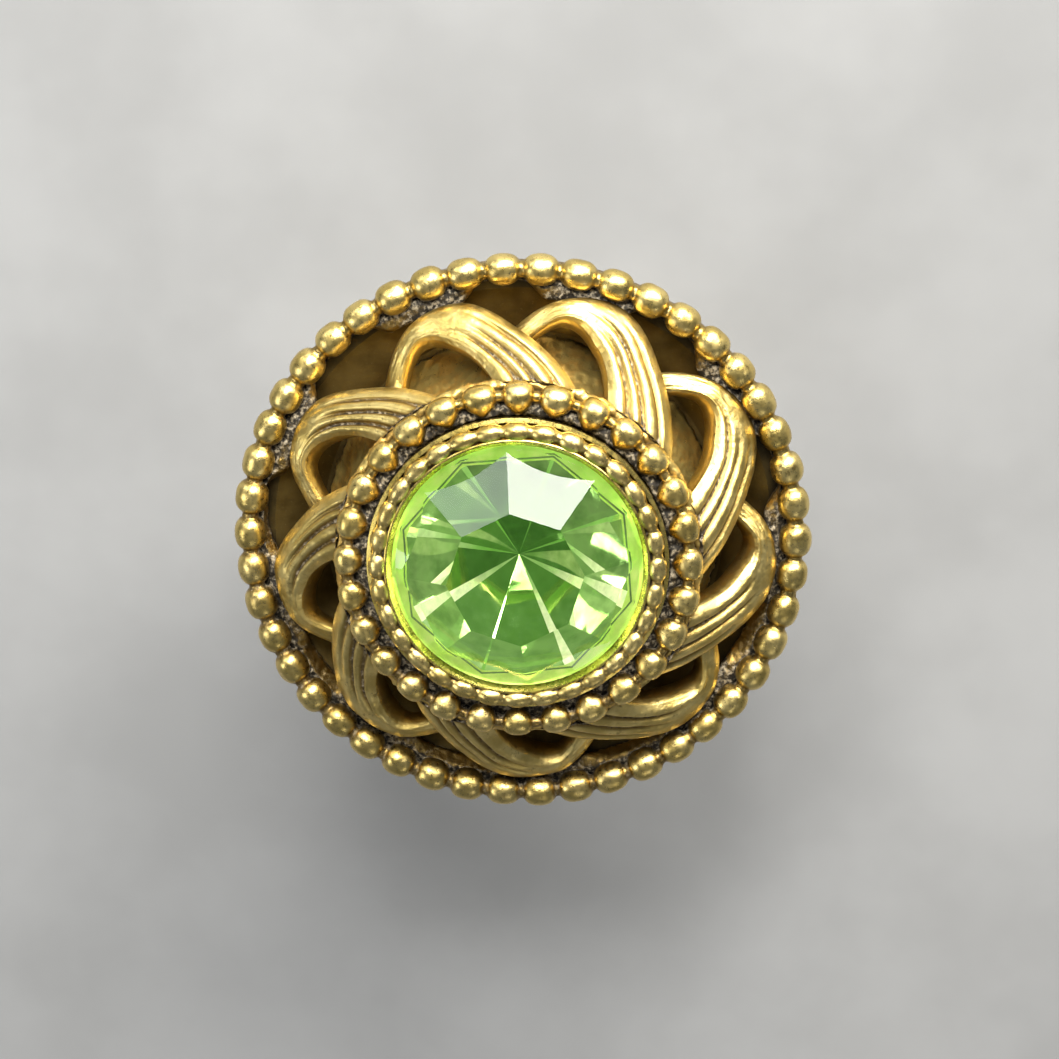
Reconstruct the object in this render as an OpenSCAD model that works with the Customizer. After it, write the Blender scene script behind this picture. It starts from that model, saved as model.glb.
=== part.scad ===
// Dome cocktail ring: a round glass stone in a beaded cup, inside an openwork dome of
// nine swirling ribbons with a beaded rim, on a plain finger band.
// Millimetres. Origin at the centre of the finger hole, +Z towards the stone,
// +Y along the finger towards the fingertip.

/* [Finger band] */
// Radius of the finger hole, a US size 7
bore_r = 8.65; // [7.5:0.05:10]
// Thickness of the band
band_t = 1.2; // [0.9:0.1:1.6]
// Width of the band where it meets the dome
band_top_w = 8; // [5:0.5:9]
// Width of the band opposite the dome
band_low_w = 3.4; // [2.5:0.1:5]
// Depth of the flat filed on top of the band as a seat for the dome
band_flat = 0.25; // [0.15:0.05:0.4]

/* [Back plate] */
// Thickness of the plate's floor
plate_t = 0.8; // [0.6:0.1:1]
// Radius of the flat floor
plate_floor_r = 9.8; // [9.6:0.1:10.2]

/* [Rim] */
// Height of the rim beads' centres above the seat on the band
rim_h = 2.6; // [2.5:0.1:3]
// Radius of the circle through the rim beads' centres
rim_r = 13.26; // [13.1:0.02:13.6]
// Radius of one rim bead
rim_bead_r = 0.76; // [0.66:0.02:0.8]
// Number of rim beads
rim_beads = 46; // [40:1:48]
// Inner radius of the channelled band that carries the rim beads
rim_band_r = 11.8; // [11.7:0.05:12]

/* [Ribbons] */
// Width of a ribbon on its wide part
ribbon_w = 2.5; // [2:0.1:2.6]
// Extra width of a ribbon where it leaves the collar
ribbon_flare = 0.4; // [0:0.1:0.8]
// Width of the narrow strap at a ribbon's end
strap_w = 1; // [0.8:0.1:1.2]
// Thickness of a ribbon at its edges
ribbon_t = 0.9; // [0.7:0.1:0.9]
// Height of a ribbon's crowned middle above its edges
ribbon_crown = 0.45; // [0.2:0.05:0.5]
// Depth to which the strap's end dips under the next ribbon
strap_dip = 1; // [0.98:0.01:1.1]

/* [Collar] */
// Height of the collar beads above the rim beads
collar_h = 4.1; // [4:0.05:4.4]
// Radius of the circle through the collar beads' centres
collar_r = 8.19; // [8.15:0.01:8.25]
// Radius of one collar bead
collar_bead_r = 0.62; // [0.55:0.01:0.66]
// Number of collar beads
collar_beads = 28; // [24:1:30]

/* [Stone and cup] */
// Radius of the stone at its girdle
stone_r = 5.95; // [5.85:0.05:6]
// Height of the crown, from the girdle up to the table
crown_h = 2.25; // [1.9:0.05:2.6]
// Slope of the round rim between the crown's facets
crown_rim_slope = 0.35; // [0.3:0.05:0.5]
// Radius of the table's corners
table_r = 3.24; // [3:0.02:3.6]
// Depth of the pavilion, from the girdle down to the point
pavilion_h = 4.2; // [3.8:0.1:4.4]
// Height of the bezel beads above the rim beads
bezel_h = 4.95; // [4.85:0.05:5.05]
// Radius of the circle through the bezel beads' centres
bezel_r = 6.62; // [6.6:0.01:6.7]
// Radius of one bezel bead
bezel_bead_r = 0.44; // [0.4:0.01:0.46]
// Number of bezel beads
bezel_beads = 32; // [28:1:36]

/* [Hidden] */
$fn = 96;

// Hairline between a bead row and its seat, and between the stone's layers
bead_gap = 0.01;
layer_gap = 0.02;
gold = [0.80, 0.66, 0.38];
dark_gold = [0.42, 0.33, 0.18];
patina = [0.17, 0.15, 0.12];

band_r = bore_r + band_t;
seat_z = band_r - band_flat;
floor_z = seat_z + plate_t;
rim_z = seat_z + rim_h;
collar_z = rim_z + collar_h;
bezel_z = rim_z + bezel_h;

// Radius of the wire that joins the beads of each row
rim_neck_r = 0.42;
collar_neck_r = 0.3;
bezel_neck_r = 0.3;

// Rim band: a flat ring whose top has a seat for the beads
rim_band_low = rim_z - 0.95;
rim_band_top = rim_z - 0.4;
rim_band_out = rim_r + 0.22;

// Collar: how far its seat lies below the beads' centres, and the radii of the drum
seat_drop = 0.6;
drum_top_r = 7.7;
drum_low_r = 9.6;
drum_in_r = 7.05;
drum_flange_r = 8.42;

// Cup and stone levels
cup_in_r = stone_r + 0.05;
cup_out_r = 6.9;
cup_flange = 0.25;
cup_floor_t = 0.5;
lip_h = 0.32;
lip_lean = 0.3;
girdle_z = bezel_z - 0.35;
girdle_t = 0.25;
girdle_top = girdle_z + girdle_t;
foil_t = 0.1;
// Bevel between the girdle and the crown, and the round rim that shows between its facets
bevel_top = girdle_top + 0.28;
bevel_r = stone_r - 0.2;
crown_rim_w = 1;
// Corners of the crown's facets on the bevel, and how deep the facets' solid is sunk in it
facet_r = bevel_r - 0.05;
facet_root = 0.05;
// Turn of the table's first corner from +X
facet_turn = 5;
// How far the corners of the pavilion's facets stay inside the girdle
pavilion_inset = 0.45;

// Rivet
rivet_r = 1.4;
rivet_head_r = 2.3;
rivet_head_t = 0.35;
countersink = 0.5;

// The ribbons lie on a cone between these two circles
cone_in = [8.3, rim_z + 3.7];
cone_out = [12.3, rim_z + 0.3];
cone_l = norm(cone_out - cone_in);
cone_up = [cone_in[1] - cone_out[1], cone_out[0] - cone_in[0]] / cone_l;

// Middle line of one ribbon as a cubic curve: angle from the loop's tip in degrees, and
// share of the way down the cone
ribbon_line = [[-20, 0.08], [-9, 0.74], [3.5, 1.22], [23, 0.5]];
first_tip = 32;
// What each cast ribbon differs by: turn in degrees, reach as a share of the cone, and its
// width as a factor
ribbon_cast = [
  [-1, 0.03, 1], [-1, 0, 1], [-4, -0.07, 0.94],
  [-1, -0.05, 0.85], [0, -0.03, 0.9], [-2, -0.03, 0.95],
  [-1, 0, 1], [1, 0, 1], [1, 0, 1]
];
ribbon_pitch = 360 / len(ribbon_cast);
// The outer edge sweeps back along the collar: degrees, share of the cone, and where it ends
sweep_turn = -11;
sweep_share = -0.22;
sweep_end = 0.28;
// Share of the cone at which a ribbon's root stops beside the collar beads
root_share = 0.045;
ribbon_steps = 30;
// Across a ribbon: place from one edge to the other, and share of the crown's height
ribbon_top = [[-1, 0], [-0.8, 0.55], [-0.35, 0.8], [0, 1], [0.35, 0.8], [0.8, 0.55], [1, 0]];
ribbon_under = [[0.85, -1], [0, -1], [-0.85, -1]];

function smooth(a, b, t) = let (s = min(1, max(0, (t - a) / (b - a)))) s * s * (3 - 2 * s);
function curve(p, t) =
  pow(1 - t, 3) * p[0] + 3 * pow(1 - t, 2) * t * p[1] + 3 * (1 - t) * t * t * p[2] + pow(t, 3) * p[3];
function slope(p, t) =
  3 * pow(1 - t, 2) * (p[1] - p[0]) + 6 * (1 - t) * t * (p[2] - p[1]) + 3 * t * t * (p[3] - p[2]);
function half_width(t) =
  let (wide = (ribbon_w - strap_w) * (1 - smooth(0.42, 0.78, t)))
  (strap_w + wide + ribbon_flare * (1 - smooth(0, 0.45, t))) / 2;
function crown(t) = ribbon_crown * min(1, 2 * half_width(t) / ribbon_w);
function dip(t) = strap_dip * smooth(0.7, 0.97, t);
function thickness(t) = ribbon_t * (1 - 0.3 * smooth(0.6, 0.95, t));

// Point on the cone at an angle, a share of the way down, and a height above it
function cone_point(angle, share, height) =
  let (rz = cone_in + (cone_out - cone_in) * share + cone_up * height)
  [rz[0] * cos(angle), rz[0] * sin(angle), rz[1]];

// One point of a ribbon's section: v is its place across, lift its height above the cone
function ribbon_point(t, v, lift, cast) =
  let (
    at = curve(ribbon_line, t),
    along = slope(ribbon_line, t),
    per_degree = (cone_in[0] + (cone_out[0] - cone_in[0]) * at[1]) * PI / 180,
    step = [along[0] * per_degree, along[1] * cone_l],
    half = half_width(t) * (1 - (1 - cast[2]) * (1 - smooth(0.5, 0.8, t))),
    across = [-step[1], step[0]] / norm(step) * v * half,
    sweep = (v + 1) / 2 * (1 - smooth(0, sweep_end, t)),
    turn = cast[0] + at[0] + across[0] / per_degree + sweep_turn * sweep,
    share = at[1] + across[1] / cone_l + sweep_share * sweep + cast[1] * smooth(0, 0.35, t)
  )
  cone_point(turn, max(root_share, share), lift);

function ribbon_ring(t, cast) = concat(
  [for (p = ribbon_top) ribbon_point(t, p[0], p[1] * crown(t) - dip(t), cast)],
  [for (p = ribbon_under) ribbon_point(t, p[0], -thickness(t) - dip(t), cast)]
);

module ribbon(k) {
  cast = ribbon_cast[k - 1] + [first_tip + (k - 1) * ribbon_pitch, 0, 0];
  n = len(ribbon_top) + len(ribbon_under);
  hub = len(ribbon_top) + 1;
  last = ribbon_steps * n;
  points = [for (i = [0:ribbon_steps]) each ribbon_ring(i / ribbon_steps, cast)];
  sides = [
    for (i = [0:ribbon_steps - 1], j = [0:n - 1])
      let (a = i * n + j, b = i * n + (j + 1) % n)
      each [[a, a + n, b], [b, a + n, b + n]]
  ];
  caps = [
    for (j = [1:n - 2])
      let (a = (hub + j) % n, b = (hub + j + 1) % n)
      each [[hub, a, b], [last + hub, last + b, last + a]]
  ];
  color(gold) polyhedron(points, concat(sides, caps), convexity = 4);
}

// Row of beads joined by short necks
module bead_wire(count, ring_r, bead_r, neck_r, z) {
  pitch = 360 / count;
  chord = 2 * ring_r * sin(pitch / 2);
  translate([0, 0, z])
    for (i = [0:count - 1])
      rotate([0, 0, i * pitch]) {
        translate([ring_r, 0, 0]) sphere(r = bead_r);
        rotate([0, 0, pitch / 2])
          translate([ring_r * cos(pitch / 2), 0, 0])
            rotate([90, 0, 0]) cylinder(r = neck_r, h = chord, center = true);
      }
}

// Finger band: a tube along Y, tapered from the dome down, with a flat seat on top
module shank() {
  mid = (band_top_w + band_low_w) / 4;
  reach = band_r + 1;
  widen = (band_top_w - band_low_w) / (4 * bore_r) * reach;
  color(gold) difference() {
    intersection() {
      rotate([90, 0, 0]) cylinder(r = band_r, h = band_top_w + 2, center = true);
      rotate([90, 0, 90])
        linear_extrude(height = 2 * reach, center = true)
          polygon([
            [-mid + widen, -reach], [mid - widen, -reach], [mid + widen, reach], [-mid - widen, reach]
          ]);
      translate([-reach, -reach, -reach]) cube([2 * reach, 2 * reach, seat_z + reach]);
    }
    rotate([90, 0, 0]) cylinder(r = bore_r, h = 4 * bore_r, center = true);
  }
}

// Two fillets of solder in the wedges between the band and the plate
module shank_solder() {
  toe = 5;
  foot = 4.2;
  foot_z = sqrt(band_r * band_r - foot * foot);
  root = sqrt(band_r * band_r - seat_z * seat_z) - 0.1;
  color(dark_gold)
    for (side = [0, 1])
      mirror([side, 0, 0])
        difference() {
          rotate([90, 0, 0])
            linear_extrude(height = band_top_w - 0.6, center = true)
              polygon([[root, seat_z], [toe, seat_z], [foot, foot_z], [root, seat_z - 0.4]]);
          rotate([90, 0, 0]) cylinder(r = band_r + bead_gap, h = 4 * bore_r, center = true);
        }
}

// Dished back plate with a countersunk hole for the rivet
module back_plate() {
  color(dark_gold)
    rotate_extrude()
      polygon([
        [rivet_r + countersink, seat_z], [plate_floor_r - 0.4, seat_z],
        [rim_band_out - 0.5, rim_band_low - 0.55], [rim_band_out - 0.1, rim_band_low],
        [rim_band_r + 0.3, rim_band_low], [plate_floor_r, floor_z], [rivet_r, floor_z],
        [rivet_r, seat_z + countersink]
      ]);
}

// Channelled ring between the plate's rim and the beads
module rim_band() {
  color(patina)
    rotate_extrude()
      difference() {
        polygon([
          [rim_band_r, rim_band_low], [rim_band_out, rim_band_low],
          [rim_band_out, rim_z - 0.5], [rim_r - 0.5, rim_z - 0.2], [rim_r - 0.75, rim_band_top],
          [rim_band_r, rim_band_top]
        ]);
        translate([rim_r, rim_z]) circle(r = rim_bead_r + bead_gap);
      }
}

module rim_bead_wire() {
  color(gold) bead_wire(rim_beads, rim_r, rim_bead_r, rim_neck_r, rim_z);
}

// Cone-shaped drum that stands on the plate and carries the collar beads
module collar_wall() {
  top = collar_z - seat_drop;
  color(dark_gold)
    rotate_extrude()
      difference() {
        polygon([
          [drum_in_r, floor_z], [drum_low_r, floor_z], [drum_top_r, top - 1],
          [8, top - 0.6], [drum_flange_r, top], [drum_flange_r - 0.2, top + 0.3],
          [drum_in_r + 0.1, top + 0.3], [drum_in_r, top + 0.2]
        ]);
        translate([collar_r, collar_z]) circle(r = collar_bead_r + bead_gap);
      }
}

module collar_bead_wire() {
  color(gold) bead_wire(collar_beads, collar_r, collar_bead_r, collar_neck_r, collar_z);
}

// Cup for the stone: floor, wall and a lip closed over the girdle
module stone_cup() {
  lip_top = bezel_z + lip_h;
  flange_r = cup_out_r + cup_flange;
  lip_in_r = stone_r - 0.02;
  color(gold)
    rotate_extrude()
      difference() {
        polygon([
          [rivet_r, floor_z], [cup_out_r - 0.5, floor_z], [cup_out_r, floor_z + 0.5],
          [cup_out_r, bezel_z - 0.8], [flange_r, bezel_z - 0.65], [flange_r, bezel_z - 0.37],
          [bezel_r, bezel_z - 0.2], [bezel_r - 0.12, bezel_z + 0.15],
          [lip_in_r + lip_lean, lip_top], [lip_in_r + lip_lean - 0.07, lip_top - 0.01],
          [lip_in_r, girdle_top + 0.08], [cup_in_r, girdle_top + 0.02],
          [cup_in_r, floor_z + cup_floor_t], [rivet_r, floor_z + cup_floor_t]
        ]);
        translate([bezel_r, bezel_z]) circle(r = bezel_bead_r + bead_gap);
      }
}

module bezel_bead_wire() {
  color(gold) bead_wire(bezel_beads, bezel_r, bezel_bead_r, bezel_neck_r, bezel_z);
}

// Eight-sided point of the stone, grown outwards for the foil and the cement round it
module pavilion(grow) {
  drop = grow * 1.3;
  translate([0, 0, girdle_z - pavilion_h - drop])
    rotate([0, 0, facet_turn + 22.5])
      cylinder(h = pavilion_h + drop, r1 = 0, r2 = stone_r - pavilion_inset + grow, $fn = 8);
}

// Glass stone: eight crown facets round an octagonal table, a girdle and the pavilion
module stone() {
  crown_rim_top = bevel_top + crown_rim_w * crown_rim_slope;
  facet_h = girdle_top + crown_h - bevel_top;
  facet_run = (facet_r - table_r) / facet_h;
  color([0.72, 0.88, 0.35, 0.8]) {
    pavilion(0);
    rotate_extrude()
      polygon([
        [0, girdle_z], [stone_r, girdle_z], [stone_r, girdle_top], [bevel_r, bevel_top],
        [bevel_r - crown_rim_w, crown_rim_top], [0, crown_rim_top]
      ]);
    translate([0, 0, bevel_top - facet_root])
      rotate([0, 0, facet_turn])
        cylinder(h = facet_h + facet_root, r1 = facet_r + facet_root * facet_run, r2 = table_r, $fn = 8);
  }
}

// Mirror layer on the stone's point
module foil_backing() {
  color([0.85, 0.85, 0.8])
    difference() {
      pavilion(foil_t);
      pavilion(0);
    }
}

// Cement that fills the cup under the foil
module cement_bed() {
  low = floor_z + cup_floor_t;
  color([0.75, 0.72, 0.62])
    difference() {
      translate([0, 0, low]) cylinder(h = girdle_z - 0.3 - low, r = cup_in_r - layer_gap);
      translate([0, 0, low - 1]) cylinder(h = 1 + rivet_head_t, r = rivet_head_r);
      pavilion(foil_t + layer_gap);
    }
}

// Rivet that clamps the cup to the plate, flush below
module centre_rivet() {
  low = floor_z + cup_floor_t;
  color(dark_gold) {
    translate([0, 0, seat_z]) cylinder(h = countersink, r1 = rivet_r + countersink, r2 = rivet_r);
    translate([0, 0, seat_z]) cylinder(h = low - seat_z, r = rivet_r);
    translate([0, 0, low]) cylinder(h = rivet_head_t, r = rivet_head_r);
  }
}

shank();
shank_solder();
back_plate();
rim_band();
rim_bead_wire();
ribbon(1);  // ribbon_1
ribbon(2);  // ribbon_2
ribbon(3);  // ribbon_3
ribbon(4);  // ribbon_4
ribbon(5);  // ribbon_5
ribbon(6);  // ribbon_6
ribbon(7);  // ribbon_7
ribbon(8);  // ribbon_8
ribbon(9);  // ribbon_9
collar_wall();
collar_bead_wire();
stone_cup();
bezel_bead_wire();
cement_bed();
foil_backing();
stone();
centre_rivet();
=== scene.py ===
"""Dome cocktail ring: antiqued gold openwork dome, beaded rows and a foiled glass stone.

Everything in Blender is metres, in the frame of the CAD: +Z towards the stone, +Y along the
finger. Lengths in this script are millimetres until mm() or polar() makes a point of them.
"""

import math
import random

import bmesh
import bpy
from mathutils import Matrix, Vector, noise


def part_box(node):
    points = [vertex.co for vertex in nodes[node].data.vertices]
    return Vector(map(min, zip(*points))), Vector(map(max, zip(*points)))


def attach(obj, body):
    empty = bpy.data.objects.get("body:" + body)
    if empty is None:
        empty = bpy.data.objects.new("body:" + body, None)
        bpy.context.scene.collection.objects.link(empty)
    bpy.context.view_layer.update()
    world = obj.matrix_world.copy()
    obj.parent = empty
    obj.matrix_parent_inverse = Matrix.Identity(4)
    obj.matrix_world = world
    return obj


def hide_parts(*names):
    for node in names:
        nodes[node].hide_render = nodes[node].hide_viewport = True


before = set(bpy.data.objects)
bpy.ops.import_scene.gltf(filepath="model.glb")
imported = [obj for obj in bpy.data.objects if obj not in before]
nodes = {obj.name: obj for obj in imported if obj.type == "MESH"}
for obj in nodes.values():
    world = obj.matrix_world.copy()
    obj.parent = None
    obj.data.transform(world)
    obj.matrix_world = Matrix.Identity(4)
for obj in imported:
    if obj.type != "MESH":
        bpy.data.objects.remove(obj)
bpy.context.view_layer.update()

MM = 0.001
TAU = 2 * math.pi


def mm(x, y, z):
    return Vector((x * MM, y * MM, z * MM))


def span_mm(node):
    """Lowest and highest corner of a CAD node in millimetres."""
    low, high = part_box(node)
    return low / MM, high / MM


def smooth(a, b, t):
    s = min(1.0, max(0.0, (t - a) / (b - a)))
    return s * s * (3 - 2 * s)


def polar(r, angle, z):
    """A point in metres from millimetres and radians."""
    return mm(r * math.cos(angle), r * math.sin(angle), z)


# Places read from the frame, in millimetres
RIM_BEAD, COLLAR_BEAD, BEZEL_BEAD = 0.76, 0.62, 0.44


def bead_row(node, bead):
    low, high = span_mm(node)
    return {"r": high.x - bead, "z": (low.z + high.z) / 2, "bead": bead}


RIM = bead_row("rim_bead_wire", RIM_BEAD)
COLLAR = bead_row("collar_bead_wire", COLLAR_BEAD)
BEZEL = bead_row("bezel_bead_wire", BEZEL_BEAD)
BAND_OUT = -span_mm("shank")[0].z
BAND_THICK = 1.2
BAND_IN = BAND_OUT - BAND_THICK
FLOOR_Z = span_mm("collar_wall")[0].z
GROUND_Z = span_mm("shank")[0].z


# ---------------------------------------------------------------- mesh helpers


def make_object(name, verts, faces, material, flat=False):
    mesh = bpy.data.meshes.new(name)
    mesh.from_pydata(verts, [], faces)
    mesh.validate()
    mesh.update()
    for p in mesh.polygons:
        p.use_smooth = not flat
    obj = bpy.data.objects.new(name, mesh)
    bpy.context.scene.collection.objects.link(obj)
    for m in material if isinstance(material, list) else [material]:
        mesh.materials.append(m)
    return obj


def fix_normals(obj):
    bm = bmesh.new()
    bm.from_mesh(obj.data)
    bmesh.ops.recalc_face_normals(bm, faces=bm.faces)
    bm.to_mesh(obj.data)
    bm.free()


def skin(name, rings, material, closed=False, patina_and_shade=None):
    """Mesh through rings of points, each ring closed on itself. closed joins the last ring to the first."""
    n = len(rings[0])
    verts = [p for ring in rings for p in ring]
    count = len(rings)
    faces = []
    for i in range(count if closed else count - 1):
        a, b = i * n, ((i + 1) % count) * n
        faces += [(a + j, a + (j + 1) % n, b + (j + 1) % n, b + j) for j in range(n)]
    if not closed:
        faces.append(tuple(reversed(range(n))))
        faces.append(tuple(range((count - 1) * n, count * n)))
    obj = make_object(name, verts, faces, material)
    # Per-point darkening for the gold: patina in hollows, and on the bead rows painted shade too
    layer = obj.data.attributes.new("patina_and_shade", "FLOAT", "POINT")
    layer.data.foreach_set("value", patina_and_shade or [0.0] * len(verts))
    fix_normals(obj)
    return obj


def place(obj, slot, *replaced):
    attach(obj, "root")
    if replaced:
        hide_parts(*replaced)
    return obj


# ---------------------------------------------------------------- materials


class Shader:
    """A node material built step by step. add() makes a node, sets its inputs and returns it;
    an input is given by its name, with _ for a space, or as i and its number."""

    def __init__(self, name):
        self.material = bpy.data.materials.new(name)
        self.material.use_nodes = True
        self.tree = self.material.node_tree
        self.tree.nodes.clear()
        self.out = self.tree.nodes.new("ShaderNodeOutputMaterial")
        self.bsdf = self.add("ShaderNodeBsdfPrincipled")
        self.tree.links.new(self.bsdf.outputs["BSDF"], self.out.inputs["Surface"])
        self.place = self.add("ShaderNodeTexCoord").outputs["Object"]

    def add(self, kind, settings=None, **inputs):
        made = self.tree.nodes.new(kind)
        for key, value in (settings or {}).items():
            setattr(made, key, value)
        for key, value in inputs.items():
            self.set(made, key, value)
        return made

    def set(self, target, key, value):
        numbered = key[0] == "i" and key[1:].isdigit()
        socket = target.inputs[int(key[1:]) if numbered else key.replace("_", " ")]
        if isinstance(value, bpy.types.NodeSocket):
            self.tree.links.new(value, socket)
        else:
            socket.default_value = value

    def noise(self, per_mm, detail=3.0, rough=0.55):
        settings = {"Scale": per_mm / MM, "Detail": detail, "Roughness": rough}
        return self.add("ShaderNodeTexNoise", Vector=self.place, **settings).outputs["Fac"]

    def ramp(self, value, low, high, a=0.0, b=1.0):
        eased = {"interpolation_type": "SMOOTHSTEP"}
        made = self.add("ShaderNodeMapRange", eased, Value=value, i1=low, i2=high, i3=a, i4=b)
        return made.outputs["Result"]

    def math(self, operation, a, b=0.0, clamp=False):
        made = self.add("ShaderNodeMath", {"operation": operation, "use_clamp": clamp}, i0=a, i1=b)
        return made.outputs["Value"]

    def mix(self, factor, a, b):
        made = self.add("ShaderNodeMix", {"data_type": "RGBA"}, i0=factor, i6=a, i7=b)
        return made.outputs[2]

    def finish(self, **inputs):
        for key, value in inputs.items():
            self.set(self.bsdf, key, value)
        return self.material


def rgb(r, g, b):
    return (r, g, b, 1.0)


PALE_GOLD = rgb(0.80, 0.62, 0.23)
GOLD = rgb(0.59, 0.435, 0.13)
BROWN_GOLD = rgb(0.29, 0.19, 0.052)
ORANGE_GOLD = rgb(0.74, 0.44, 0.10)
CUP_LIGHT = rgb(0.80, 0.62, 0.18)
CUP_GOLD = rgb(0.68, 0.50, 0.11)
SOOT = rgb(0.032, 0.027, 0.020)
ASH = rgb(0.46, 0.39, 0.27)


def antique_gold(
    name, light=PALE_GOLD, mid=GOLD, *, reach, patina, rough, grain, tarnish_and_shade=1.0, shine=1.0
):
    """Worn plating over blackened recesses. reach is how far, in mm, the occlusion test that finds the
    hollows looks;
    patina is how much of the surface the black takes, the tarnish argument how brown the hollows are, and
    shine how metallic the plating is. A per-point attribute adds to the hollows: patina, and on the bead rows
    painted shade too."""
    s = Shader(name)
    cloud = s.noise(0.7, 4.0)
    speck = s.noise(4.0, 4.0, 0.7)
    pits = s.noise(4.5, 3.0, 0.6)
    open_sky = s.add("ShaderNodeAmbientOcclusion", {"samples": 8}, Distance=reach * MM).outputs["AO"]
    # Per-point darkening: patina in the hollows, and painted shade on one side of the bead rows
    patina_and_shade = s.add("ShaderNodeAttribute", {"attribute_name": "patina_and_shade"}).outputs["Fac"]
    closed = s.math("SUBTRACT", 1.0, open_sky)
    depth = s.math("ADD", closed, patina_and_shade)
    ragged = s.math("ADD", depth, s.math("MULTIPLY", s.math("SUBTRACT", speck, 0.5), 0.7))
    soot = s.ramp(ragged, 0.78 - patina, 1.12 - patina)
    hollow = s.ramp(s.math("ADD", depth, s.math("MULTIPLY", cloud, 0.5)), 0.35, 0.95)
    tarnish = s.math("MULTIPLY", hollow, tarnish_and_shade)
    worn = s.mix(s.ramp(cloud, 0.38, 0.62), mid, light)
    plated = s.mix(tarnish, worn, BROWN_GOLD)
    stains = s.ramp(s.noise(2.2, 5.0, 0.75), 0.57, 0.66)
    spots = s.math("MULTIPLY", stains, s.ramp(cloud, 0.40, 0.60, 0.15, 0.75))
    plated = s.mix(s.math("MULTIPLY", spots, tarnish_and_shade), plated, BROWN_GOLD)
    flecks = s.mix(s.ramp(pits, 0.46, 0.66), SOOT, ASH)
    colour = s.mix(soot, plated, flecks)
    gloss = s.math("ADD", s.ramp(speck, 0.3, 0.8, rough - 0.06, rough + 0.12), s.math("MULTIPLY", soot, 0.2))
    pitted = s.math("MULTIPLY", pits, s.ramp(soot, 0, 1, 0.15, 1.4))
    bumps = s.math("ADD", s.math("MULTIPLY", speck, 0.6), pitted)
    bump = s.add("ShaderNodeBump", Strength=grain, Distance=0.05 * MM, Height=bumps)
    metal = s.ramp(soot, 0.0, 1.0, shine, 0.5)
    return s.finish(Base_Color=colour, Metallic=metal, Roughness=gloss, Normal=bump.outputs["Normal"])


def satin_bronze(name):
    """Dark olive satin metal with fine scratches, and painted shade where other parts close it in."""
    s = Shader(name)
    cloud = s.noise(0.5, 4.0)
    stretched = s.add("ShaderNodeMapping", Vector=s.place, Scale=(900.0, 9000.0, 900.0)).outputs["Vector"]
    scratch = s.add("ShaderNodeTexNoise", Vector=stretched, Scale=1.0, Detail=3.0).outputs["Fac"]
    grit = s.noise(8.0, 3.0, 0.7)
    colour = s.mix(s.ramp(cloud, 0.3, 0.7), rgb(0.085, 0.058, 0.015), rgb(0.19, 0.135, 0.04))
    colour = s.mix(s.ramp(grit, 0.62, 0.75), colour, rgb(0.26, 0.19, 0.07))
    # Painted shade: the metal darkens to near black where the dome and other parts close it in
    open_sky = s.add("ShaderNodeAmbientOcclusion", {"samples": 8}, Distance=1.6 * MM).outputs["AO"]
    colour = s.mix(s.ramp(open_sky, 0.35, 0.95), rgb(0.022, 0.015, 0.006), colour)
    gloss = s.ramp(scratch, 0.2, 0.8, 0.34, 0.5)
    height = s.math("ADD", s.math("MULTIPLY", scratch, 0.5), grit)
    bump = s.add("ShaderNodeBump", Strength=0.3, Distance=0.03 * MM, Height=height)
    return s.finish(Base_Color=colour, Metallic=0.75, Roughness=gloss, Normal=bump.outputs["Normal"])


def solder_metal(name):
    """Rippled, gritty solder."""
    s = Shader(name)
    ripple = s.noise(1.6, 4.0)
    grit = s.noise(9.0, 2.0)
    colour = s.mix(s.ramp(ripple, 0.35, 0.65), rgb(0.20, 0.14, 0.06), rgb(0.42, 0.32, 0.16))
    height = s.math("ADD", ripple, s.math("MULTIPLY", grit, 0.3))
    bump = s.add("ShaderNodeBump", Strength=0.6, Distance=0.1 * MM, Height=height)
    gloss = s.ramp(grit, 0.3, 0.7, 0.38, 0.55)
    return s.finish(Base_Color=colour, Metallic=1.0, Roughness=gloss, Normal=bump.outputs["Normal"])


def cement_paste(name):
    """Dull grainy cement."""
    s = Shader(name)
    grain = s.noise(4.0, 5.0, 0.7)
    colour = s.mix(s.ramp(grain, 0.3, 0.7), rgb(0.34, 0.30, 0.20), rgb(0.52, 0.47, 0.34))
    bump = s.add("ShaderNodeBump", Strength=0.5, Distance=0.05 * MM, Height=grain)
    return s.finish(Base_Color=colour, Roughness=0.85, Normal=bump.outputs["Normal"])


# Colours of the painted glow that the glass emits, from the darkest facets to the palest
DEEP_PAINTED_GLOW = rgb(0.004, 0.012, 0.001)
PALE_PAINTED_GLOW = rgb(0.17, 0.26, 0.075)
# Colours of the painted glints that the foil emits
PAINTED_GLINT_GREEN = rgb(0.08, 0.20, 0.02)
PAINTED_GLINT_CREAM = rgb(1.0, 0.90, 0.62)
PAINTED_GLINT_DIM = rgb(0.02, 0.07, 0.01)
BLACK = rgb(0.0, 0.0, 0.0)
# A painted glint on the foil grows from the last of these, a share of its strength, at the first one's
# distance in mm from the axis, to all of it at the second one's
PAINTED_GLINT_IN, PAINTED_GLINT_OUT, PAINTED_GLINT_LEAST = 1.0, 3.4, 0.66


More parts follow.
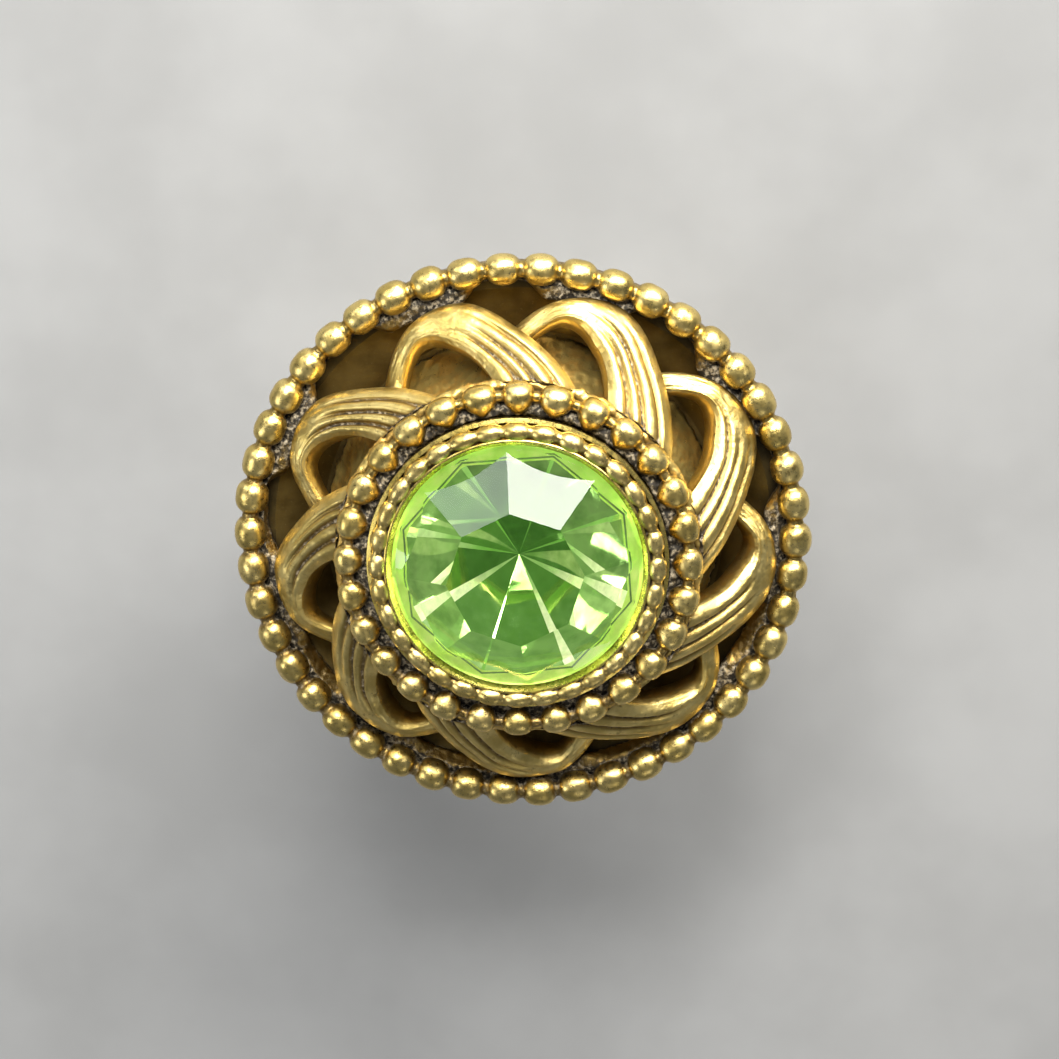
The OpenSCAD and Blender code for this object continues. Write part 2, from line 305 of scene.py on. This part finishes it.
def mirror_foil(name):
    """Silvered foil with painted reflections and painted glints. One face attribute sets each facet lighter
    or darker in place of what it would reflect; the other makes facets emit light as painted glints, more
    towards the girdle: 0.5 is green, 1 is cream."""
    s = Shader(name)
    wrinkle = s.noise(1.2, 3.0)
    painted_light = s.add("ShaderNodeAttribute", {"attribute_name": "painted_light"}).outputs["Fac"]
    patchy = s.math("ADD", painted_light, s.ramp(wrinkle, 0.3, 0.7, -0.08, 0.08), clamp=True)
    # Painted reflection: the foil's colour runs from dark green to near white facet by facet, in place of
    # what each facet would reflect
    colour = s.mix(patchy, rgb(0.10, 0.16, 0.04), rgb(1.0, 1.0, 0.92))
    flat = s.add("ShaderNodeVectorMath", {"operation": "MULTIPLY"}, i0=s.place, i1=(1.0, 1.0, 0.0))
    away = s.add("ShaderNodeVectorMath", {"operation": "LENGTH"}, i0=flat.outputs["Vector"]).outputs["Value"]
    # Painted glints: chosen facets of the foil emit green to cream light, stronger towards the girdle, though
    # it is no lamp
    painted_glint = s.add("ShaderNodeAttribute", {"attribute_name": "painted_glint"}).outputs["Fac"]
    painted_glint = s.math("MULTIPLY", painted_glint, s.ramp(away, PAINTED_GLINT_IN * MM, PAINTED_GLINT_OUT * MM, PAINTED_GLINT_LEAST, 1.0))
    faint = s.mix(s.ramp(painted_glint, 0.0, 0.5), BLACK, PAINTED_GLINT_GREEN)
    lit = s.mix(s.ramp(painted_glint, 0.5, 1.0), faint, PAINTED_GLINT_CREAM)
    lit = s.mix(s.ramp(s.noise(2.0, 4.0), 0.3, 0.7, 0.0, 0.35), lit, PAINTED_GLINT_DIM)
    gloss = s.ramp(wrinkle, 0.3, 0.7, 0.02, 0.06)
    s.finish(Base_Color=colour, Metallic=1.0, Roughness=gloss)
    return s.finish(Emission_Color=lit, Emission_Strength=0.9)


def glowing_rim(name):
    """Underside of the girdle, with a painted glow: a yellow-green colour and a weak emission in place of the
    light that runs along the glass.
    """
    s = Shader(name)
    streak = s.noise(1.5, 4.0)
    colour = s.mix(s.ramp(streak, 0.3, 0.7), rgb(0.62, 0.78, 0.13), rgb(0.82, 0.90, 0.26))
    s.finish(Base_Color=colour, Metallic=1.0, Roughness=0.35)
    # Painted glow: the girdle's underside emits its own colour
    return s.finish(Emission_Color=colour, Emission_Strength=0.05)


def green_glass(name):
    """Clear glass whose colour deepens with the length of the path through it, with a painted glow: the crown
    facets and the volume emit green light in place of the light the stone would show.
    """
    s = Shader(name)
    seeds = s.noise(3.0, 2.0)
    bump = s.add("ShaderNodeBump", Strength=0.03, Distance=0.02 * MM, Height=seeds)
    tint = s.mix(s.ramp(seeds, 0.3, 0.7), rgb(0.93, 0.99, 0.88), rgb(0.97, 1.0, 0.93))
    painted_light = s.add("ShaderNodeAttribute", {"attribute_name": "painted_light"}).outputs["Fac"]
    patches = s.ramp(s.noise(0.8, 3.0), 0.3, 0.65, 0.5, 1.2)
    # Painted glow: the crown facets emit green light, set facet by facet and in patches, in place of the
    # light the stone would show
    painted_glow = s.mix(s.math("MULTIPLY", painted_light, patches), DEEP_PAINTED_GLOW, PALE_PAINTED_GLOW)
    s.finish(Base_Color=tint, Roughness=0.0, IOR=1.56, Transmission_Weight=1.0, Normal=bump.outputs["Normal"])
    s.finish(Emission_Color=painted_glow, Emission_Strength=1.0)
    absorb = s.add("ShaderNodeVolumeAbsorption", Color=rgb(0.60, 0.97, 0.20), Density=52.0)
    # Painted glow: the glass volume emits green light though it is no lamp
    glow = s.add("ShaderNodeEmission", Color=rgb(0.28, 1.0, 0.06), Strength=10.0)
    both = s.add("ShaderNodeAddShader", i0=absorb.outputs["Volume"], i1=glow.outputs["Emission"])
    s.tree.links.new(both.outputs["Shader"], s.out.inputs["Volume"])
    return s.material


def pale_floor(name):
    """Matt floor with a faint mottle."""
    s = Shader(name)
    mottle = s.noise(0.08, 4.0)
    colour = s.mix(s.ramp(mottle, 0.3, 0.7), rgb(0.25, 0.25, 0.245), rgb(0.29, 0.29, 0.285))
    return s.finish(Base_Color=colour, Roughness=0.8)


# ---------------------------------------------------------------- bead rows


# Side of the ring, the lower left, where the bead rows get painted shade because less light falls there
SHADED_SIDE = math.radians(240)
BETWEEN_DARK, TAIL_DARK = 0.35, 0.3


def bead_wire(name, row, count, material, *, seed, length, neck, wobble, swell, tail=0.0, side_shade=0.0):
    """A row of beads drawn as one wire whose thickness swells into each bead. length is a bead's
    half length along the row; neck is the wire's radius between beads; wobble is how much the
    beads differ; swell is a bead's size against the CAD's, with the outer side kept in place;
    tail draws its inner side out into a teardrop; the last argument paints shade on the row, darkest towards
    the lower left of the ring."""
    rand = random.Random(seed)
    middle = row["r"] - row["bead"] * (swell - 1)
    around, along, squareness = 24, 26, 2.5
    pitch = TAU / count
    half = row["r"] * pitch / 2
    rings, patina_and_shade = [], []
    for i in range(count):
        size = row["bead"] * swell * (1 - rand.uniform(0.0, wobble))
        reach = length * (1 + rand.uniform(-0.5, 0.5) * wobble)
        lift = rand.uniform(-0.5, 0.5) * wobble * row["bead"] * 0.1
        drift = rand.uniform(-0.5, 0.5) * wobble * row["bead"]
        for k in range(along):
            ds = (2 * (k + 0.5) / along - 1) * half
            off = min(1.0, abs(ds - drift) / reach)
            ball = size * (1 - off**squareness) ** (1 / squareness)
            r = (ball**8 + neck**8) ** 0.125
            angle = (i + 0.5) * pitch + ds / row["r"] - pitch / 2
            between = smooth(0.7, 1.0, off)
            # Painted shade: the row darkens towards the lower left of the ring
            tarnish_and_shade = side_shade * smooth(-0.3, 0.8, math.cos(angle - SHADED_SIDE))
            pull = tail * math.exp(-((ds / (0.45 * length)) ** 2))
            ring = []
            for j in range(around):
                a = TAU * j / around
                at = Vector((i * 3.7 + ds, math.cos(a), math.sin(a)))
                rough = 0.04 * noise.noise(at * 1.7) + 0.12 * between * noise.noise(at * 5.0)
                rr = min(r * (1 + rough), row["bead"] * swell)
                inward = max(0.0, -math.cos(a)) ** 3 * pull
                out = rr * math.cos(a) - inward
                ring.append(polar(middle + out, angle, row["z"] + lift + rr * math.sin(a)))
                patina_and_shade.append(BETWEEN_DARK * between + TAIL_DARK * min(1.0, 3 * inward) + tarnish_and_shade)
            rings.append(ring)
    return skin(name, rings, material, closed=True, patina_and_shade=patina_and_shade)


# ---------------------------------------------------------------- ribbons

CONE_IN = Vector((8.3, RIM["z"] + 3.7))
CONE_OUT = Vector((12.3, RIM["z"] + 0.3))
CONE_L = (CONE_OUT - CONE_IN).length
CONE_UP = Vector((CONE_IN.y - CONE_OUT.y, CONE_OUT.x - CONE_IN.x)) / CONE_L
RIBBON_LINE = [Vector(p) for p in ((-20, 0.08), (-9, 0.74), (3.5, 1.22), (23, 0.5))]
FIRST_TIP = 32
# What each cast ribbon differs by: turn in degrees, reach as a share of the cone, width
RIBBON_CAST = [
    (-1, 0.03, 1), (-1, 0, 1), (-4, -0.07, 0.94),
    (-1, -0.05, 0.85), (0, -0.03, 0.9), (-2, -0.03, 0.95),
    (-1, 0, 1), (1, 0, 1), (1, 0, 1),
]
RIBBON_W, RIBBON_FLARE, STRAP_W = 2.5, 0.4, 1.0
RIBBON_T, CROWN, STRAP_DIP = 0.9, 0.45, 1.0
SWEEP_TURN, SWEEP_SHARE, SWEEP_END, ROOT_SHARE = -11, -0.22, 0.28, 0.045
RIBBON_COUNT = len(RIBBON_CAST)
RIBBON_PITCH = 360 / RIBBON_COUNT
# Across a ribbon: width of a groove, and where the eye's raised lip lies, how wide and how high
GROOVE_W, LIP_AT, LIP_W, LIP_H = 0.085, -0.78, 0.16, 0.10
FULL_GROOVE = 0.26


def line_at(t):
    p, q = RIBBON_LINE, 1 - t
    at = q**3 * p[0] + 3 * q * q * t * p[1] + 3 * q * t * t * p[2] + t**3 * p[3]
    along = 3 * q * q * (p[1] - p[0]) + 6 * q * t * (p[2] - p[1]) + 3 * t * t * (p[3] - p[2])
    return at, along


def half_width(t):
    wide = (RIBBON_W - STRAP_W) * (1 - smooth(0.42, 0.78, t))
    return (STRAP_W + wide + RIBBON_FLARE * (1 - smooth(0, 0.45, t))) / 2


def ribbon_point(t, v, lift, cast):
    """A point of a ribbon: t along it, v across it from the eye's edge (-1) to the outer one (1)."""
    turn, reach, width = cast
    at, along = line_at(t)
    per_degree = math.radians(CONE_IN.x + (CONE_OUT.x - CONE_IN.x) * at.y)
    step = Vector((along.x * per_degree, along.y * CONE_L))
    half = half_width(t) * (1 - (1 - width) * (1 - smooth(0.5, 0.8, t)))
    across = Vector((-step.y, step.x)).normalized() * v * half
    sweep = (v + 1) / 2 * (1 - smooth(0, SWEEP_END, t))
    angle = math.radians(turn + at.x + across.x / per_degree + SWEEP_TURN * sweep)
    share = at.y + across.y / CONE_L + SWEEP_SHARE * sweep + reach * smooth(0, 0.35, t)
    rz = CONE_IN + (CONE_OUT - CONE_IN) * max(ROOT_SHARE, share) + CONE_UP * lift
    return polar(rz.x, angle, rz.y)


def ribbon(k, material):
    """One swirling loop: a crowned ribbon with tapering grooves that narrows to a strap."""
    rand = random.Random(40 + k)
    turn, reach, width = RIBBON_CAST[k]
    cast = (FIRST_TIP + k * RIBBON_PITCH + turn, reach, width)
    grooves = [
        (-0.46 + rand.uniform(-0.06, 0.04), FULL_GROOVE, rand.uniform(0.55, 0.75)),
        (-0.02 + rand.uniform(-0.06, 0.06), 0.28, rand.uniform(0.45, 0.68)),
        (0.42 + rand.uniform(-0.06, 0.06), 0.22, rand.uniform(0.35, 0.6)),
    ]
    steps, top, under = 110, 41, 9
    rings, patina_and_shade = [], []
    for i in range(steps + 1):
        t = i / steps
        w = half_width(t)
        crown = CROWN * min(1.0, 2 * w / RIBBON_W)
        dip = STRAP_DIP * smooth(0.7, 0.97, t)
        thick = RIBBON_T * (1 - 0.3 * smooth(0.6, 0.95, t))
        ring = []
        for j in range(top):
            v = math.sin((2 * j / (top - 1) - 1) * math.pi / 2)
            lift = crown * (1 - abs(v) ** 2.6)
            sunk = 0.0
            for centre, deep, ends in grooves:
                fade = 1 - smooth(ends - 0.3, ends, t)
                cut = deep * fade * math.exp(-(((v - centre) / GROOVE_W) ** 2))
                lift -= cut
                sunk += cut / FULL_GROOVE
            lip = LIP_H * math.exp(-(((v - LIP_AT) / LIP_W) ** 2)) * (1 - smooth(0.75, 0.95, t))
            where = Vector((t * 14.0, v * 3.0, k * 5.3))
            lift += lip + 0.03 * noise.noise(where) + 0.02 * noise.noise(where * 3.1)
            ring.append(ribbon_point(t, v, lift - dip, cast))
            root = 0.6 * (1 - smooth(0.0, 0.09, t))
            patina_and_shade.append(min(1.0, 0.68 * sunk + root + 0.5 * smooth(0.8, 1.0, t)))
        for j in range(under):
            v = 0.93 - 1.86 * j / (under - 1)
            deeper = 1 + 0.15 * smooth(0.3, -0.9, v)
            ring.append(ribbon_point(t, v, -thick * deeper - dip, cast))
            patina_and_shade.append(0.5)
        rings.append(ring)
    return skin(f"ribbon_{k + 1}_metal", rings, material, patina_and_shade=patina_and_shade)


# ---------------------------------------------------------------- rim channel and collar


# Where the channel rises for a ribbon's tip, in degrees from it: full rise, and none
TIP_SHIFT, TIP_FULL, TIP_NONE = 5, 8, 15
WIDE_SIDE = math.radians(268)


def tip_share(angle):
    """1 under a ribbon's tip, 0 in the gap between two."""
    best = 0.0
    for k, (turn, _, _) in enumerate(RIBBON_CAST):
        tip = FIRST_TIP + RIBBON_PITCH * k + turn + TIP_SHIFT
        away = (math.degrees(angle) - tip + 180) % 360 - 180
        best = max(best, 1 - smooth(TIP_FULL, TIP_NONE, abs(away)))
    return best


def lathe(name, outline, steps, material, shape=None, patina_and_shade=None):
    """Turns a closed outline of (radius, height) in mm, with shape() moving each point."""
    rings, dark = [], []
    for i in range(steps):
        angle = TAU * i / steps
        ring = []
        for n, (r, z) in enumerate(outline):
            if shape:
                r, z = shape(r, z, angle, n)
            ring.append(polar(r, angle, z))
            dark.append(patina_and_shade(r, z, angle) if patina_and_shade else 0.0)
        rings.append(ring)
    return skin(name, rings, material, closed=True, patina_and_shade=dark)


def fine_outline(points, step):
    """The outline with extra points so that none lie further apart than step."""
    made = []
    for i, a in enumerate(points):
        b = points[(i + 1) % len(points)]
        count = max(1, math.ceil(math.dist(a, b) / step))
        made += [(a[0] + (b[0] - a[0]) * j / count, a[1] + (b[1] - a[1]) * j / count) for j in range(count)]
    return made


def rim_channel(material):
    """Blackened granular channel inside the rim beads, raised under each ribbon's tip. Between
    the tips it is wide on one half of the ring and hides under the beads on the other."""
    z, r = RIM["z"], RIM["r"]
    outline = fine_outline(
        [
            (12.15, z - 0.95), (r + 0.22, z - 0.95), (r + 0.22, z - 0.55), (r, z - 0.62),
            (r - 0.55, z - 0.2), (r - 0.8, z - 0.12), (12.2, z - 0.3), (12.05, z - 0.45),
        ],
        0.13,
    )

    def shape(pr, pz, angle, _):
        inner = smooth(r - 0.5, 12.0, pr)
        tip = tip_share(angle)
        at = Vector((pr * math.cos(angle), pr * math.sin(angle), pz))
        grain = noise.noise(at * 4.5)
        upper = smooth(z - 0.95, z - 0.4, pz)
        wide = smooth(-0.3, 0.35, math.cos(angle - WIDE_SIDE))
        narrow = 0.68 - 0.7 * wide + 0.3 * noise.noise(at * 0.6)
        pr += inner * (narrow * (1 - tip) - 0.3 * tip)
        pz += upper * (inner * (0.3 * tip - 0.25 * (1 - tip)) + 0.11 * grain)
        return pr + 0.07 * grain * inner, pz

    return lathe("rim_channel", outline, 900, material, shape, lambda *_: 0.72)


def collar(wall, channel):
    """Drum under the collar beads with a pebbled outer wall and a dark channel on top."""
    top = COLLAR["z"] - 0.6
    outline = fine_outline(
        [
            (7.05, FLOOR_Z), (9.58, FLOOR_Z), (7.72, top - 1), (8.0, top - 0.7), (8.75, top - 0.15),
            (8.74, top + 0.12), (8.5, top + 0.32), (8.2, top + 0.25),
            (7.95, top + 0.15), (7.7, top + 0.45), (7.4, top + 0.55), (7.22, top + 0.6), (7.08, top + 0.3),
        ],
        0.2,
    )

    def shape(pr, pz, angle, _):
        at = Vector((pr * math.cos(angle), pr * math.sin(angle), pz))
        pebble = noise.noise(at * 2.2) * 0.14 + noise.noise(at * 5.0) * 0.09
        out = smooth(7.4, 7.8, pr) if pz < top else 0.4
        return pr + pebble * out, pz + (0.16 * noise.noise(at * 3.6) if pz > top - 0.05 else 0)

    def dark(pr, pz, _):
        return 0.75 * smooth(8.35, 7.95, pr) if pz > top - 0.1 else 0.15

    drum = lathe("collar_drum", outline, 540, [wall, channel], shape, dark)
    for face in drum.data.polygons:
        on_top = face.center.z > (top - 0.1) * MM and face.center.xy.length < 8.25 * MM
        face.material_index = 1 if on_top else 0
    return drum


# ---------------------------------------------------------------- finger band


def finger_band(material):
    """Tapered band with a softly domed outside and a comfort-rounded inside edge."""
    rings = []
    steps, across = 180, 24
    seat = span_mm("shank")[1].z
    middle, thick = (BAND_OUT + BAND_IN) / 2, BAND_THICK / 2
    half_at_axis, half_gain = 2.85, 1.15
    for i in range(steps):
        angle = TAU * i / steps
        height = BAND_OUT * math.sin(angle)
        half = half_at_axis + half_gain * height / BAND_IN
        ring = []
        for j in range(across):
            a = TAU * j / across
            c, s = math.cos(a), math.sin(a)
            y = half * math.copysign(abs(c) ** 0.35, c)
            r = middle + thick * math.copysign(abs(s) ** 0.5, s)
            ring.append(mm(r * math.cos(angle), y, min(r * math.sin(angle), seat)))
        rings.append(ring)
    return skin("finger_band", rings, material, closed=True)


# ---------------------------------------------------------------- stone


def unite(solid, *others):
    """Joins closed solids into one mesh and removes the others."""
    for other in others:
        joining = solid.modifiers.new("join", "BOOLEAN")
        joining.operation, joining.solver, joining.object = "UNION", "EXACT", other
    ready = solid.evaluated_get(bpy.context.evaluated_depsgraph_get())
    mesh = bpy.data.meshes.new_from_object(ready)
    solid.modifiers.clear()
    solid.data = mesh
    for other in others:
        bpy.data.objects.remove(other)


# The cut of the stone. Angles are in degrees from +X.
CROWN_H, GIRDLE_H, BEVEL_H, BEVEL_W = 2.25, 0.25, 0.28, 0.2
CROWN_RIM_W, CROWN_RIM_SLOPE, TABLE_R = 1.0, 0.35, 3.24
PAVILION_INSET, CULET_GAP, CULET_R = 0.55, 0.06, 0.004
# How far the crown's corners stay inside the bevel, and how far a solid reaches into the next
FACET_INSET, SUNK = 0.05, 0.05
FIRST_CORNER, FIRST_EDGE, STEP = 5, 27.5, 45
# The pavilion's eight edges are narrow facets: half of each one's angle, and its painted glint
EDGE_HALF_WIDTHS = (1.6, 1.0, 1.5, 2.8, 4.6, 0.9, 3.0, 4.8)
EDGE_PAINTED_GLINTS = (0.4, 0.3, 0.6, 0.72, 1.0, 0.4, 1.0, 0.96)
# The wide facets between them, from the one at FIRST_CORNER on: the painted light of each one's foil, and its
# painted glint
FOIL_PAINTED_LIGHT = (0.22, 0.10, 0.06, 0.24, 0.12, 0.26, 0.16, 0.24)
FOIL_PAINTED_GLINTS = (0.06, 0.03, 0.0, 0.24, 0.10, 0.26, 0.34, 0.18)
# Painted glow on each crown facet from the one at FIRST_CORNER on; then the painted light of the pavilion's
# edges, of the crown's rim and of the table
CROWN_PAINTED_LIGHT = (0.55, 0.25, 0.25, 0.65, 0.85, 0.45, 0.50, 0.85)
EDGE_PAINTED_LIGHT, RIM_PAINTED_LIGHT, TABLE_PAINTED_LIGHT = 0.7, 0.55, 0.0
GLASS_SLOT, FOIL_SLOT, RIM_SLOT = 0, 1, 2


def stone_solid(name, profile, sides, materials, turn=0.0):
    """A prism or cone through polygons of (radius, height)."""
    first = math.radians(turn)
    rings = [[polar(r, first + TAU * i / sides, z) for i in range(sides)] for r, z in profile]
    return skin(name, rings, materials)


def pavilion_point(materials, radius, culet_z, girdle_low):
    """Eight wide facets and eight narrow ones, meeting in the culet just inside the foil."""
    tip_z = culet_z + CULET_GAP
    top_r = radius - PAVILION_INSET
    spread = top_r / (girdle_low - tip_z)
    profile = [(CULET_R, tip_z), (top_r + SUNK * spread, girdle_low + SUNK)]
    sides = 2 * len(EDGE_HALF_WIDTHS)
    pavilion = stone_solid("pavilion", profile, sides, materials)
    for i, vert in enumerate(pavilion.data.vertices):
        edge, after = divmod(i % sides, 2)
        half = math.radians(EDGE_HALF_WIDTHS[edge])
        angle = math.radians(FIRST_EDGE + STEP * edge) + (half if after else -half)
        # Keeps the corner on the flat side of an octagon with its corners at the edges
        reach = vert.co.xy.length * math.cos(math.pi / 8) / math.cos(math.pi / 8 - half)
        vert.co.xy = reach * math.cos(angle), reach * math.sin(angle)
    for face in pavilion.data.polygons:
        face.material_index = FOIL_SLOT
    return pavilion


def shade_facets(stone):
    """Writes each facet's painted light and painted glint for the glass and the foil."""
    painted_light = stone.data.attributes.new("painted_light", "FLOAT", "FACE")
    painted_glint = stone.data.attributes.new("painted_glint", "FLOAT", "FACE")
    table_up, crown_rim_from, edge_reach = 0.99, 5.05, 1.2
    for face in stone.data.polygons:
        around = math.degrees(math.atan2(face.center.y, face.center.x)) % 360
        sector = int((around - FIRST_CORNER) % 360 // STEP)
        value = TABLE_PAINTED_LIGHT
        if face.material_index != GLASS_SLOT:
            off_edge = abs((around - FIRST_EDGE - STEP * sector + 180) % 360 - 180)
            if off_edge < edge_reach * EDGE_HALF_WIDTHS[sector]:
                value = EDGE_PAINTED_LIGHT
                painted_glint.data[face.index].value = EDGE_PAINTED_GLINTS[sector]
            else:
                facet = int((around + STEP - FIRST_EDGE) % 360 // STEP)
                value = FOIL_PAINTED_LIGHT[facet]
                painted_glint.data[face.index].value = FOIL_PAINTED_GLINTS[facet]
        elif face.center.xy.length > crown_rim_from * MM:
            value = RIM_PAINTED_LIGHT
        elif face.normal.z < table_up:
            value = CROWN_PAINTED_LIGHT[sector]
        painted_light.data[face.index].value = value


def glass_stone(glass, foil, rim):
    """Round blank with a bevelled girdle, eight crown facets round a table and a foiled pavilion."""
    materials = [glass, foil, rim]
    low, high = span_mm("stone")
    radius, table_z = high.x, high.z
    girdle_top = table_z - CROWN_H
    girdle_low = girdle_top - GIRDLE_H
    bevel_top, bevel_r = girdle_top + BEVEL_H, radius - BEVEL_W
    rim_top = bevel_top + CROWN_RIM_W * CROWN_RIM_SLOPE
    core_r = 0.5
    blank = [
        (core_r, girdle_low), (radius, girdle_low), (radius, girdle_top),
        (bevel_r, bevel_top), (bevel_r - CROWN_RIM_W, rim_top), (core_r, rim_top),
    ]
    stone = stone_solid("glass_stone", blank, 144, materials)
    facet_r = bevel_r - FACET_INSET
    run = (facet_r - TABLE_R) / (table_z - bevel_top)
    facets = [(facet_r + SUNK * run, bevel_top - SUNK), (TABLE_R, table_z)]
    crown = stone_solid("crown", facets, len(CROWN_PAINTED_LIGHT), materials, FIRST_CORNER)
    unite(stone, crown, pavilion_point(materials, radius, low.z, girdle_low))
    bm = bmesh.new()
    bm.from_mesh(stone.data)
    bmesh.ops.remove_doubles(bm, verts=bm.verts, dist=1e-7)
    bmesh.ops.dissolve_limit(bm, angle_limit=0.002, verts=bm.verts, edges=bm.edges)
    least_bend, polish = math.radians(12), 0.02 * MM
    outer = [e for e in bm.edges if e.is_manifold and e.is_convex]
    sharp = [e for e in outer if e.calc_face_angle() > least_bend]
    bmesh.ops.bevel(bm, geom=sharp, offset=polish, segments=1, affect="EDGES", clamp_overlap=True)
    bmesh.ops.recalc_face_normals(bm, faces=bm.faces)
    for face in bm.faces:
        if face.normal.z < -0.99:
            face.material_index = RIM_SLOT
    bm.to_mesh(stone.data)
    bm.free()
    stone.data.shade_smooth()
    stone.data.set_sharp_from_angle(angle=math.radians(8))
    shade_facets(stone)
    return stone


# ---------------------------------------------------------------- build

ribbon_gold = antique_gold("ribbon_gold", reach=0.8, patina=0.06, rough=0.38, grain=0.9)
bead_gold = antique_gold("bead_gold", reach=0.6, patina=0.14, rough=0.31, grain=0.7)
cup_gold = antique_gold("cup_gold", CUP_LIGHT, CUP_GOLD, reach=0.5, patina=-0.1, rough=0.28, grain=0.15)
band_gold = antique_gold("band_gold", reach=0.4, patina=-0.2, rough=0.26, grain=0.25, tarnish_and_shade=0.6)
channel_black = antique_gold("channel_black", reach=0.8, patina=0.03, rough=0.36, grain=1.0)
drum_gold = antique_gold(
    "drum_gold", ORANGE_GOLD, reach=0.5, patina=-0.08, rough=0.33, grain=1.0, tarnish_and_shade=0.9, shine=0.8
)
bronze = satin_bronze("plate_bronze")
foil_mirror = mirror_foil("foil_mirror")

rim_beads = bead_wire(
    "rim_beads", RIM, 46, bead_gold, seed=1, length=0.84, neck=0.40, wobble=0.07, swell=1.06, side_shade=0.24
)
collar_beads = bead_wire(
    "collar_beads", COLLAR, 28, bead_gold, seed=2, length=0.77, neck=0.26, wobble=0.1, swell=1.14,
    side_shade=0.2, tail=0.25,
)
bezel_beads = bead_wire(
    "bezel_beads", BEZEL, 32, bead_gold, seed=3, length=0.62, neck=0.30, wobble=0.08, swell=1.08
)
place(rim_beads, "bead_gold", "rim_bead_wire")
place(collar_beads, "bead_gold", "collar_bead_wire")
place(bezel_beads, "bead_gold", "bezel_bead_wire")
for k in range(RIBBON_COUNT):
    place(ribbon(k, ribbon_gold), "ribbon_gold", f"ribbon_{k + 1}")
place(rim_channel(channel_black), "dark_patina", "rim_band")
place(collar(drum_gold, channel_black), "dark_patina", "collar_wall")
place(finger_band(band_gold), "band_gold", "shank")
place(glass_stone(green_glass("stone_glass"), foil_mirror, glowing_rim("girdle_foil_painted_glow")), "glass", "stone")

for name, material in (
    ("shank_solder", solder_metal("solder_metal")),
    ("back_plate", bronze),
    ("stone_cup", cup_gold),
    ("cement_bed", cement_paste("cement_paste")),
    ("foil_backing", foil_mirror),
    ("centre_rivet", bronze),
):
    mesh = nodes[name].data
    mesh.materials.clear()
    mesh.materials.append(material)


# ---------------------------------------------------------------- floor, camera and light


def build_floor(material):
    half, z = 400, GROUND_Z
    corners = [mm(-half, -half, z), mm(half, -half, z), mm(half, half, z), mm(-half, half, z)]
    make_object("floor", corners, [(0, 1, 2, 3)], material)


def aim(obj, target, up):
    """Turns a camera or lamp so that it looks at target with up towards the top of its picture."""
    back = (obj.location - target).normalized()
    right = up.cross(back).normalized()
    above = back.cross(right)
    columns = (right, above, back)
    matrix = obj.matrix_world.to_3x3()
    for i, column in enumerate(columns):
        for j in range(3):
            matrix[j][i] = column[j]
    obj.rotation_euler = matrix.to_euler()


def build_camera():
    """Leans 17 degrees towards the fingertip and 2 to the side, 160 mm from the rim's centre."""
    lean, side, far = math.radians(17.25), math.radians(2.4), 160
    back = Vector((math.sin(side), math.sin(lean), 0))
    back.z = math.sqrt(1 - back.length_squared)
    centre = mm(0, 0, RIM["z"])
    up = Vector((0, 1, 0))
    up = (up - back * up.dot(back)).normalized()
    right = up.cross(back)
    data = bpy.data.cameras.new("camera")
    data.lens, data.sensor_width = 112.2, 36
    data.clip_start = 0.01
    camera = bpy.data.objects.new("camera", data)
    camera.location = centre + back * far * MM
    bpy.context.scene.collection.objects.link(camera)
    aim(camera, centre + (right * 0.37 + up * 0.29) * MM, up)
    bpy.context.scene.camera = camera


def softbox(name, azimuth, tilt, far, size, power, colour=(1, 1, 1)):
    """Area lamp aimed at the dome. azimuth is from +X towards +Y, tilt is down from +Z, in degrees."""
    data = bpy.data.lights.new(name, "AREA")
    data.shape, data.size, data.size_y = "RECTANGLE", size[0] * MM, size[1] * MM
    data.energy, data.color = power, colour
    lamp = bpy.data.objects.new(name, data)
    a, b = math.radians(azimuth), math.radians(tilt)
    target = mm(0, 0, RIM["z"])
    lamp.location = target + polar(far * math.sin(b), a, far * math.cos(b))
    bpy.context.scene.collection.objects.link(lamp)
    aim(lamp, target, Vector((0.01, 0.02, 1)))


SKY, SKY_STRENGTH = rgb(0.80, 0.86, 0.95), 0.20


def build_world():
    world = bpy.data.worlds.new("studio")
    world.use_nodes = True
    background = world.node_tree.nodes["Background"]
    background.inputs["Color"].default_value = SKY
    background.inputs["Strength"].default_value = SKY_STRENGTH
    bpy.context.scene.world = world


build_floor(pale_floor("floor_pale"))
build_camera()
build_world()
softbox("window", 70, 62, 260, (220, 150), 1.75, (1.0, 0.975, 0.93))
softbox("overhead", 95, 38, 260, (110, 60), 0.65, (1.0, 0.99, 0.97))
softbox("left_window", 132, 66, 280, (90, 110), 0.14, (0.96, 0.98, 1.0))
softbox("side_fill", 190, 55, 300, (120, 120), 0.24, (0.95, 0.97, 1.0))
softbox("front_fill", 290, 50, 300, (100, 60), 0.04, (1.0, 0.98, 0.95))
bpy.context.scene.view_settings.view_transform = "Standard"
